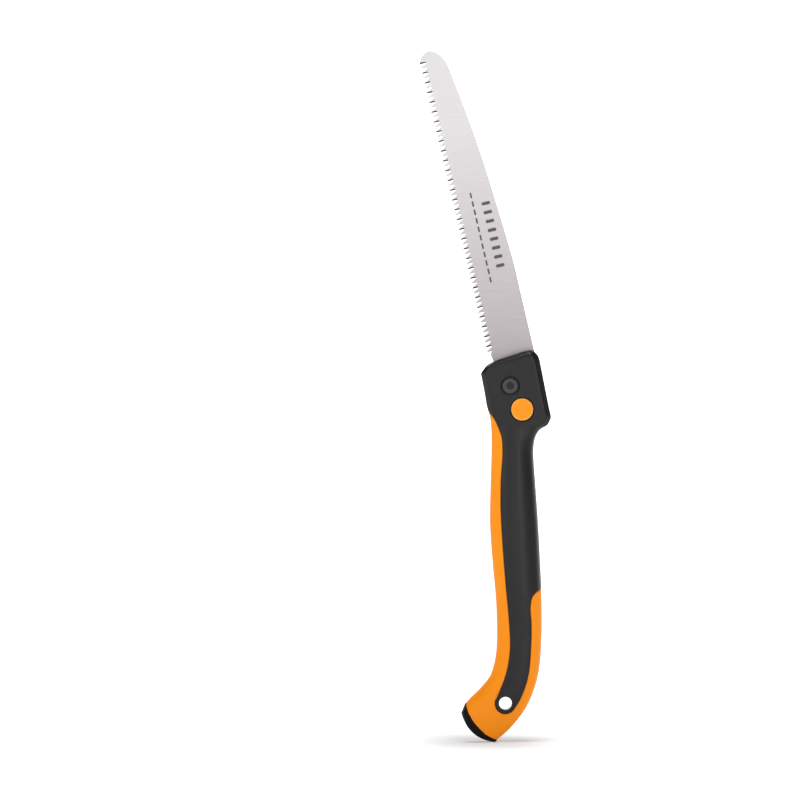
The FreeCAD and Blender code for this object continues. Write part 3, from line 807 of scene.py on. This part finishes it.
def tang_outline():
    """The tang from the teeth's heel round the pivot to the spine: two lock seats and the track between."""
    seat = 5.1
    track = 17.3
    horn = 24.0
    open_way = math.degrees(math.atan2(LOCK.z - PIVOT.z, LOCK.x - PIVOT.x)) - LEAN
    closed_way = open_way - FOLD
    reach = seat + track

    def polar(radius, degrees):
        return radius * math.cos(math.radians(degrees)), radius * math.sin(math.radians(degrees))

    horn_turn = math.degrees(math.acos((horn**2 - reach**2 - seat**2) / (2 * reach * seat)))
    horn_foot = np.array(polar(reach, open_way)) + polar(seat, open_way + horn_turn)
    horn_way = math.degrees(math.atan2(horn_foot[1], horn_foot[0]))
    outline = [(-10.2, 29.6), (-9.1, 24.6)]
    outline += arc_points(polar(reach, closed_way), seat, 54, closed_way + 180, 16)
    outline += arc_points((0, 0), track, closed_way, open_way, 60)[1:-1]
    outline += arc_points(polar(reach, open_way), seat, open_way + 180, open_way + horn_turn, 16)
    outline += arc_points((0, 0), horn, horn_way, 19.6, 24)[1:]
    outline += [(BLADE_WIDTH - TEETH_TO_PIVOT, 22.0)]
    return outline


def spine_outline():
    """The spine and the rounded nose, from the heel end to the last tooth."""
    spine = BLADE_WIDTH - TEETH_TO_PIVOT
    back, _ = through([(spine, 80), (spine, 100), (24.1, 146), (19.6, 204), (15.2, 240), (10.0, 276)], 14)
    nose_points = [(13.3, 252), (10.0, 276), (7.1, 283.2), (3.6, 287.7), (-1.8, 290.9), (-7.2, 289.8)]
    nose_points += [(-10.9, 286.4), (-12.2, 284.6)]
    nose, _ = through(nose_points, NOSE_STEPS)
    return [tuple(p) for p in back[:-1]] + [tuple(p) for p in nose[NOSE_STEPS:]]


def tooth_outlines():
    """The toothed edge from the nose to the heel, on the front face and on the back face, point by point.

    Each tooth has a steep flank and a sloping one. Both are ground from one face only, and the next tooth's
    from the other, so that the two faces' outlines differ.
    """
    edge = -TEETH_TO_PIVOT
    root = edge + TOOTH_DEPTH
    front = []
    back = []
    for k in range(TOOTH_COUNT - 1, -1, -1):
        tip = FIRST_TOOTH + k * TOOTH_PITCH
        sharp = [(root, tip + 3.55), (edge, tip), (root, tip - 0.15)]
        ground = [(root, tip + 2.7), (edge + 1.1, tip + 1.25), (root, tip + 1.05)]
        if k == TOOTH_COUNT - 1:
            sharp[0] = (edge + 0.7, tip + 2.6)
            ground[0] = (edge + 1.4, tip + 1.9)
        ground_in_front = k % 2 == 1
        front += ground if ground_in_front else sharp
        back += sharp if ground_in_front else ground
        if k:
            gullet = (root + 0.12, tip - 0.42)
            front.append(gullet)
            back.append(gullet)
    return front, back


def make_blade():
    """The steel blade: flat plate, ground teeth, pivot hole and printed marks."""
    front_teeth, back_teeth = tooth_outlines()
    rest = tang_outline() + spine_outline()
    blade = two_faced_plate("saw_blade_steel", front_teeth + rest, back_teeth + rest)
    subtract(blade, prism("pivot_hole", circle(PIVOT.x, PIVOT.z, PIVOT_HOLE), -3, 3))
    join(blade, blade_marks())
    smooth_by_angle(blade, 12)
    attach(blade, "saw_blade")
    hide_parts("blade")
    return blade


def finish_blade(blade, steel, ground, print_ink):
    """Steel plate, the ground facets that face the heel in a dark steel as painted shade, and the printed
    marks.
    """
    give(blade, steel)
    blade.data.materials.append(ground)
    blade.data.materials.append(print_ink)
    lean = math.radians(LEAN)
    along = Vector((-math.sin(lean), 0, math.cos(lean)))
    for face in blade.data.polygons:
        # Facets that face the heel, away from the light above, get the dark steel: painted shade.
        is_facet = abs(face.normal.y) > 0.3
        if is_facet and face.normal.dot(along) < -0.5:
            face.material_index = 1
        if is_mark(face):
            face.material_index = 2


MARK_RISE = 0.03


def blade_marks():
    """Plain printed bars and dashes on the front of the blade."""
    bars = [(15.0, 101.0 + 7.7 * n, 7.2, 2.8) for n in range(8)]
    dashes = [(4.2, 91.0 + 7.3 * n, 1.5, 4.8) for n in range(11)]
    pieces = []
    for across, along, wide, long in bars + dashes:
        place = blade_point(across, along)
        pieces.append(bar("mark", place, wide, long, -BLADE_HALF - MARK_RISE, -BLADE_HALF + 0.1, LEAN))
    return pieces


def is_mark(face):
    """True for the outer face of a printed mark."""
    return face.center.y / MM < -BLADE_HALF - 0.7 * MARK_RISE


def two_faced_plate(name, front, back):
    """A plate whose front and back outlines match point by point."""
    count = len(front)
    points = blade_to_row(front, -BLADE_HALF) + blade_to_row(back, BLADE_HALF)
    faces = [tuple(range(count)), tuple(range(2 * count - 1, count - 1, -1))]
    faces += [(n, (n + 1) % count, count + (n + 1) % count, count + n) for n in range(count)]
    return clean(mesh_object(name, points, faces))


# ---------------------------------------------------------------- button


def make_button():
    """The orange push button: a disc with a rounded rim and a slightly dished face."""
    low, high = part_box("lock_button")
    front = low.y / MM
    back = high.y / MM
    radius = (high.x - low.x) / 2 / MM
    rim = 1.3
    flat = radius - rim
    dish = 0.25
    profile = [(0.0, back), (radius, back)]
    for turn in np.linspace(0, math.pi / 2, 9):
        profile.append((flat + rim * math.cos(turn), front + rim - rim * math.sin(turn)))
    for r in np.linspace(flat, 0, 10)[1:]:
        profile.append((r, front + dish * (1 - (r / flat) ** 2)))
    button = lathe("push_button", profile, LOCK)
    smooth_by_angle(button, 40)
    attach(button, "button")
    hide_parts("lock_button")
    return button


# ---------------------------------------------------------------- materials


def new_material(name, colour, roughness, metallic=0.0):
    material = bpy.data.materials.new(name)
    material.use_nodes = True
    shader = material.node_tree.nodes["Principled BSDF"]
    shader.inputs["Base Color"].default_value = (*colour, 1)
    shader.inputs["Roughness"].default_value = roughness
    shader.inputs["Metallic"].default_value = metallic
    return material, material.node_tree, shader


def add(tree, kind, **settings):
    """A new node, with its sockets and properties set by name."""
    node = tree.nodes.new(kind)
    for key, value in settings.items():
        if key in node.inputs:
            node.inputs[key].default_value = value
        else:
            setattr(node, key, value)
    return node


def object_noise(tree, scale, detail):
    """Noise in the object's own coordinates."""
    place = add(tree, "ShaderNodeTexCoord")
    noise = add(tree, "ShaderNodeTexNoise", Scale=scale, Detail=detail)
    tree.links.new(place.outputs["Object"], noise.inputs["Vector"])
    return noise


def ramp(tree, source, stops):
    """A colour ramp between two (place, colour) stops."""
    node = add(tree, "ShaderNodeValToRGB")
    for element, (place, colour) in zip(node.color_ramp.elements, stops):
        element.position = place
        element.color = (*colour, 1)
    tree.links.new(source, node.inputs["Fac"])
    return node


def grey(value):
    return (value, value, value)


def bump(tree, shader, source, strength, distance):
    node = add(tree, "ShaderNodeBump", Strength=strength, Distance=distance)
    tree.links.new(source, node.inputs["Height"])
    tree.links.new(node.outputs["Normal"], shader.inputs["Normal"])


def plastic(name, colour, darker, roughness, grain=900.0, shine=0.35):
    """Moulded plastic: faint colour drift, spark-eroded grain in bump and roughness."""
    material, tree, shader = new_material(name, colour, roughness)
    shader.inputs["Specular IOR Level"].default_value = shine
    drift = object_noise(tree, 18, 3)
    tint = ramp(tree, drift.outputs["Fac"], [(0.3, darker), (0.7, colour)])
    tree.links.new(tint.outputs["Color"], shader.inputs["Base Color"])
    fine = object_noise(tree, grain, 2)
    rough = ramp(tree, fine.outputs["Fac"], [(0.3, grey(roughness - 0.05)), (0.7, grey(roughness + 0.07))])
    tree.links.new(rough.outputs["Color"], shader.inputs["Roughness"])
    bump(tree, shader, fine.outputs["Fac"], 0.12, 0.0001)
    return material


def brushed(name, colour, darker, roughness, angle=0.0, metallic=1.0):
    """Ground steel: fine lines along X, turned by an angle about Y, in colour, roughness and bump."""
    material, tree, shader = new_material(name, colour, roughness, metallic)
    place = add(tree, "ShaderNodeTexCoord")
    mapping = add(tree, "ShaderNodeMapping")
    mapping.inputs["Rotation"].default_value = (0, math.radians(angle), 0)
    mapping.inputs["Scale"].default_value = (0.04, 0.3, 1.0)
    tree.links.new(place.outputs["Object"], mapping.inputs["Vector"])
    lines = add(tree, "ShaderNodeTexNoise", Scale=700.0, Detail=6.0, Roughness=0.7)
    tree.links.new(mapping.outputs["Vector"], lines.inputs["Vector"])
    tint = ramp(tree, lines.outputs["Fac"], [(0.25, darker), (0.75, colour)])
    tree.links.new(tint.outputs["Color"], shader.inputs["Base Color"])
    rough = ramp(tree, lines.outputs["Fac"], [(0.2, grey(roughness - 0.06)), (0.8, grey(roughness + 0.08))])
    tree.links.new(rough.outputs["Color"], shader.inputs["Roughness"])
    bump(tree, shader, lines.outputs["Fac"], 0.08, 0.00005)
    return material


def shade_along(material, axis, stops):
    """Multiplies a finish's colour by a ramp along one axis, between two (place, colour) stops."""
    tree = material.node_tree
    shader = tree.nodes["Principled BSDF"]
    source = shader.inputs["Base Color"].links[0].from_socket
    place = add(tree, "ShaderNodeTexCoord")
    split = add(tree, "ShaderNodeSeparateXYZ")
    tree.links.new(place.outputs["Object"], split.inputs["Vector"])
    spread = add(tree, "ShaderNodeMapRange")
    spread.inputs["From Min"].default_value = stops[0][0] * MM
    spread.inputs["From Max"].default_value = stops[1][0] * MM
    tree.links.new(split.outputs[axis], spread.inputs["Value"])
    shade = ramp(tree, spread.outputs["Result"], [(0.0, stops[0][1]), (1.0, stops[1][1])])
    mix = add(tree, "ShaderNodeMix", data_type="RGBA", blend_type="MULTIPLY")
    mix.inputs["Factor"].default_value = 1.0
    tree.links.new(source, mix.inputs["A"])
    tree.links.new(shade.outputs["Color"], mix.inputs["B"])
    tree.links.new(mix.outputs["Result"], shader.inputs["Base Color"])


def shade_round(material, centre, own_radius, other_radius, other):
    """Blends a finish's own colour into another one with the distance from an axis along Y through centre."""
    tree = material.node_tree
    shader = tree.nodes["Principled BSDF"]
    source = shader.inputs["Base Color"].links[0].from_socket
    place = add(tree, "ShaderNodeTexCoord")
    shift = add(tree, "ShaderNodeMapping")
    shift.inputs["Location"].default_value = (-centre.x * MM, 0, -centre.z * MM)
    tree.links.new(place.outputs["Object"], shift.inputs["Vector"])
    flat = add(tree, "ShaderNodeVectorMath", operation="MULTIPLY")
    flat.inputs[1].default_value = (1, 0, 1)
    tree.links.new(shift.outputs["Vector"], flat.inputs[0])
    distance = add(tree, "ShaderNodeVectorMath", operation="LENGTH")
    tree.links.new(flat.outputs["Vector"], distance.inputs[0])
    spread = add(tree, "ShaderNodeMapRange")
    spread.inputs["From Min"].default_value = own_radius * MM
    spread.inputs["From Max"].default_value = other_radius * MM
    tree.links.new(distance.outputs["Value"], spread.inputs["Value"])
    mix = add(tree, "ShaderNodeMix", data_type="RGBA")
    tree.links.new(spread.outputs["Result"], mix.inputs["Factor"])
    tree.links.new(source, mix.inputs["A"])
    mix.inputs["B"].default_value = (*other, 1)
    tree.links.new(mix.outputs["Result"], shader.inputs["Base Color"])


def give(thing, material):
    thing.data.materials.clear()
    thing.data.materials.append(material)


# ---------------------------------------------------------------- stage, light and camera


# The floor's painted shadow: its glow is lowest within the first distance from the saw and full past the
# second.
PAINTED_SHADOW_CORE = 0.02  # metres
PAINTED_SHADOW_EDGE = 0.13  # metres


def glowing(name, colour, painted_shadow_glow):
    """A matt white surface that gives light itself, less of it right under the saw as a painted shadow."""
    material, tree, shader = new_material(name, colour, 0.9)
    shader.inputs["Specular IOR Level"].default_value = 0.0
    shader.inputs["Emission Color"].default_value = (1, 1, 1, 1)
    place = add(tree, "ShaderNodeTexCoord")
    squeeze = add(tree, "ShaderNodeMapping")
    squeeze.inputs["Location"].default_value = (0.015, 0, 0)
    squeeze.inputs["Scale"].default_value = (1.0, 0.3, 1.0)
    tree.links.new(place.outputs["Object"], squeeze.inputs["Vector"])
    distance = add(tree, "ShaderNodeVectorMath", operation="LENGTH")
    tree.links.new(squeeze.outputs["Vector"], distance.inputs[0])
    spread = add(tree, "ShaderNodeMapRange", interpolation_type="SMOOTHSTEP")
    spread.inputs["From Min"].default_value = PAINTED_SHADOW_CORE
    spread.inputs["From Max"].default_value = PAINTED_SHADOW_EDGE
    spread.inputs["To Min"].default_value = painted_shadow_glow
    spread.inputs["To Max"].default_value = 1.0
    tree.links.new(distance.outputs["Value"], spread.inputs["Value"])
    tree.links.new(spread.outputs["Result"], shader.inputs["Emission Strength"])
    return material


def stage_piece(name, corners, faces, material):
    """A floor or a backdrop, in metres."""
    mesh = bpy.data.meshes.new(name)
    mesh.from_pydata(corners, [], faces)
    piece = bpy.data.objects.new(name, mesh)
    bpy.context.scene.collection.objects.link(piece)
    give(piece, material)


def make_stage():
    """A white floor under the butt with a painted shadow, a tall white wall behind and a low one all round,
    past the cameras.
    """
    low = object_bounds()[0][2]
    reach = 8.8
    wall_top = 9.9
    floor = [(-reach, -reach, low), (reach, -reach, low), (reach, reach, low), (-reach, reach, low)]
    # The floor glows at only 0.22 right under the saw: a painted shadow.
    stage_piece("floor", floor, [(0, 1, 2, 3)], glowing("white_floor", (0.62, 0.62, 0.62), 0.22))
    wall = [(-reach, reach, low), (reach, reach, low), (reach, reach, wall_top), (-reach, reach, wall_top)]
    stage_piece("wall", wall, [(0, 1, 2, 3)], glowing("white_wall", (0.8, 0.8, 0.8), 1.3))
    count = 48
    turns = [2 * math.pi * n / count for n in range(count)]
    ring = [(reach * math.cos(turn), reach * math.sin(turn), z) for z in (low, 1.0) for turn in turns]
    sides = [(n, (n + 1) % count, count + (n + 1) % count, count + n) for n in range(count)]
    stage_piece("low_wall", ring, sides, glowing("low_white_wall", (0.8, 0.8, 0.8), 1.0))


def area_light(name, place, target, size, power, colour=(1, 1, 1)):
    """A rectangular lamp, with its place, target and size in metres and its power in watts."""
    data = bpy.data.lights.new(name, "AREA")
    data.shape = "RECTANGLE"
    data.size, data.size_y = size
    data.energy = power
    data.color = colour
    lamp = bpy.data.objects.new(name, data)
    lamp.location = place
    lamp.rotation_euler = (Vector(target) - Vector(place)).to_track_quat("-Z", "Y").to_euler()
    bpy.context.scene.collection.objects.link(lamp)


def make_light():
    """Soft studio light: a large key, a strip for the long highlight, two rims and one from above."""
    world = bpy.data.worlds.new("studio")
    world.use_nodes = True
    world.node_tree.nodes["Background"].inputs["Color"].default_value = (1, 1, 1, 1)
    world.node_tree.nodes["Background"].inputs["Strength"].default_value = 0.05
    bpy.context.scene.world = world
    head = (0, 0, 0.25)
    grip = (0, 0, 0.2)
    butt = (0, 0, 0)
    bluish = (0.75, 0.87, 1.0)
    area_light("key", (-0.8, -2.1, 0.9), grip, (1.0, 1.0), 13)
    area_light("strip", (0.4, -1.8, 0.35), head, (0.2, 1.4), 6.2)
    area_light("right_rim", (1.4, 0.7, 0.5), head, (0.5, 1.6), 4.6)
    area_light("left_rim", (-1.4, -0.2, 0.2), head, (0.4, 1.4), 2.4, bluish)
    area_light("overhead", (0, -0.35, 2.0), butt, (0.5, 0.5), 18)
    bpy.context.scene.view_settings.view_transform = "Standard"


FRAME_WIDTH = 676.0  # mm across the picture at the object
CAMERA_DISTANCE = 8000.0
CAMERA_PLACE = (-89.0, -CAMERA_DISTANCE, 256.0)
SENSOR_WIDTH = 36.0


def make_camera():
    """A level camera in front, far enough away for almost no perspective."""
    data = bpy.data.cameras.new("camera")
    data.sensor_width = SENSOR_WIDTH
    data.lens = SENSOR_WIDTH * CAMERA_DISTANCE / FRAME_WIDTH
    data.clip_end = 50
    camera = bpy.data.objects.new("camera", data)
    camera.location = Vector(CAMERA_PLACE) * MM
    camera.rotation_euler = (math.pi / 2, 0, 0)
    bpy.context.scene.collection.objects.link(camera)
    bpy.context.scene.camera = camera


# ---------------------------------------------------------------- put together

# Each finish: name, colour, its darker tint, roughness.
orange = plastic("orange_moulding", (0.85, 0.254, 0.003), (0.81, 0.238, 0.002), 0.46, shine=0.14)
button_orange = plastic("orange_button", (0.84, 0.258, 0.005), (0.81, 0.246, 0.004), 0.42, shine=0.16)
black = (0.0062, 0.0052, 0.006)
soft_black = plastic("soft_black_overmould", black, (0.0046, 0.0038, 0.0044), 0.34, 1400.0, 0.25)
cap_black = plastic("cap_rubber", (0.006, 0.0045, 0.0054), (0.004, 0.0032, 0.0038), 0.58, 700.0, 0.08)
print_grey = plastic("print_grey", (0.075, 0.068, 0.07), (0.06, 0.055, 0.056), 0.5, 1400.0)
satin = (0.565, 0.543, 0.551)
blade_steel = brushed("satin_blade_steel", satin, (0.5, 0.48, 0.488), 0.42, LEAN, 0.3)
# Dark steel for the tooth facets that face the heel: painted shade.
tooth_facet_shade = brushed("tooth_painted_shade_steel", (0.05, 0.048, 0.05), (0.03, 0.028, 0.03), 0.4, LEAN, 0.3)
plain_steel = brushed("zinc_plated_steel", (0.6, 0.6, 0.6), (0.48, 0.48, 0.49), 0.35)
black_steel = brushed("black_oxide_steel", (0.1, 0.092, 0.09), (0.06, 0.056, 0.056), 0.4)
bolt_steel = brushed("bolt_steel", (0.04, 0.036, 0.036), (0.028, 0.025, 0.025), 0.42, metallic=0.4)
bronze = brushed("plain_bronze", (0.62, 0.42, 0.2), (0.5, 0.33, 0.15), 0.4)

# Painted light on three finishes: the bolt's socket is darker as painted shade in its recess, the button's
# rim is lighter as a painted highlight, and the blade darkens towards the head as painted shade and painted
# reflection.
# Painted shade: the bolt's colour turns near black inside its hex socket.
shade_round(bolt_steel, PIVOT, 3.5, 3.15, (0.004, 0.004, 0.004))
# Painted highlight: the button's colour turns lighter orange at its rounded rim.
shade_round(button_orange, LOCK, 8.1, 8.9, (0.98, 0.42, 0.08))
# Painted shade and painted reflection: the blade's colour darkens and turns pinkish towards the head.
shade_along(blade_steel, "Z", ((285, (0.6, 0.562, 0.58)), (490, (1.0, 1.0, 1.0))))

for side in ("front", "back"):
    give(make_shell(side), orange)
    give(make_softgrip(side), soft_black)
give(make_cap(), cap_black)
blade = make_blade()
finish_blade(blade, blade_steel, tooth_facet_shade, print_grey)
give(make_button(), button_orange)

CAD_FINISH = {
    "pivot_bolt": bolt_steel,
    "pivot_nut": black_steel,
    "handle_screws": black_steel,
    "lock_cover": soft_black,
    "front_washer": bronze,
    "back_washer": bronze,
}
STEEL_NODES = ["front_liner", "back_liner", "pivot_bushing", "disc_spring"]
STEEL_NODES += ["lock_spring", "lock_pin", "button_clip"]
CAD_FINISH.update({name: plain_steel for name in STEEL_NODES})
for name, finish in CAD_FINISH.items():
    give(nodes[name], finish)

make_stage()
make_light()
make_camera()
